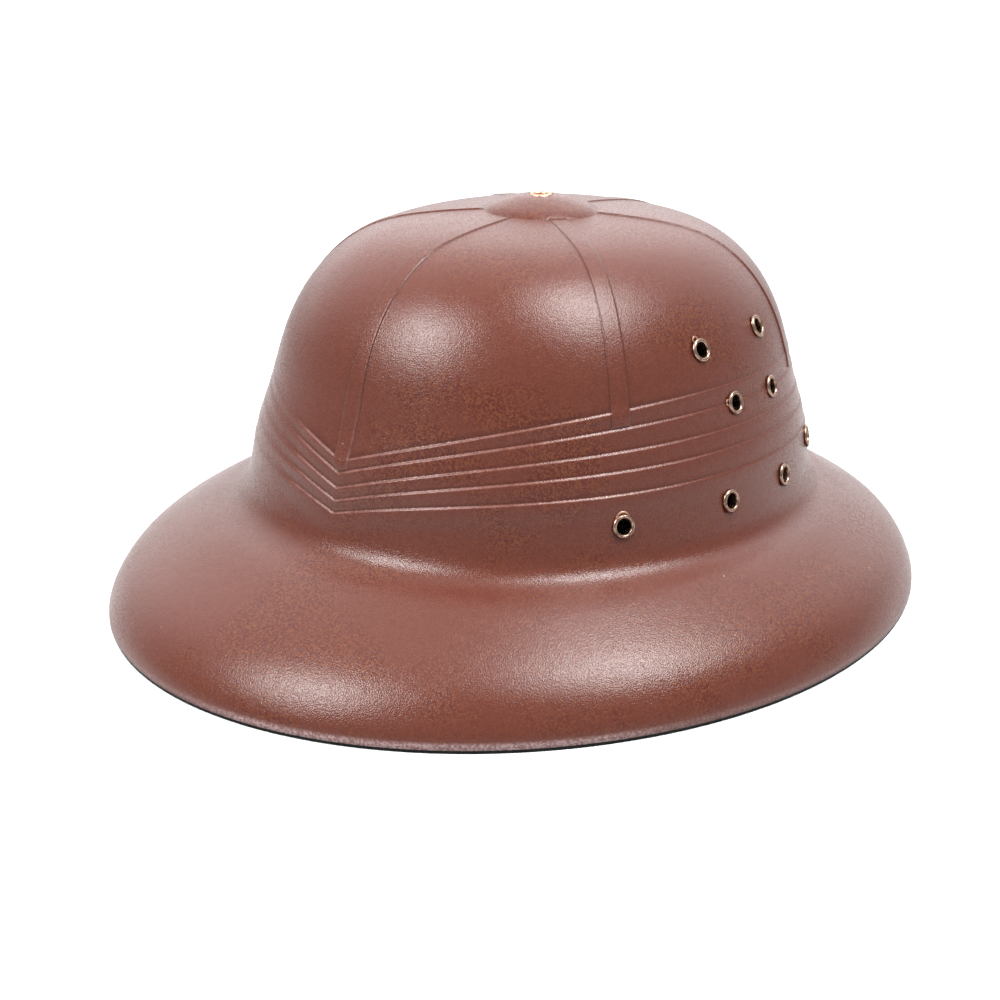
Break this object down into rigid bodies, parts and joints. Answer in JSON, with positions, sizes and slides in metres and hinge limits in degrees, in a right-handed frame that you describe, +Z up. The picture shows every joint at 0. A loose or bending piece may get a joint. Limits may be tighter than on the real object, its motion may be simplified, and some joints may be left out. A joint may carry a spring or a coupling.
{
  "type": "pith helmet",
  "caption": "Pressed-fibre sun helmet with an oval brim, raised seam tapes, a pleated band pressed into the crown, a top boss and rolled vent eyelets.",
  "frame": {"origin": "middle of the oval that the brim's lip stands on, on the floor", "axes": "+Z up, -Y out through the front of the hat, +X towards the wearer's left, Y along the oval's long way"},
  "size_m": [0.2876, 0.324, 0.1456],
  "materials": {
    "fibre": "brown paint on pressed fibre with a fine leather-like grain, satin",
    "brass": "rolled brass with a warm, slightly dulled shine"
  },
  "bodies": {
    "root": {"shell": "fibre", "eyelet_left_upper_front": "brass", "eyelet_left_upper_back": "brass", "eyelet_left_middle_front": "brass", "eyelet_left_middle_back": "brass", "eyelet_left_lower_front": "brass", "eyelet_left_lower_middle": "brass", "eyelet_left_lower_back": "brass", "eyelet_left_lower_last": "brass", "eyelet_right_upper_front": "brass", "eyelet_right_upper_back": "brass", "eyelet_right_middle_front": "brass", "eyelet_right_middle_back": "brass", "eyelet_right_lower_front": "brass", "eyelet_right_lower_middle": "brass", "eyelet_right_lower_back": "brass", "eyelet_right_lower_last": "brass", "eyelet_crown": "brass"}
  },
  "joints": []
}
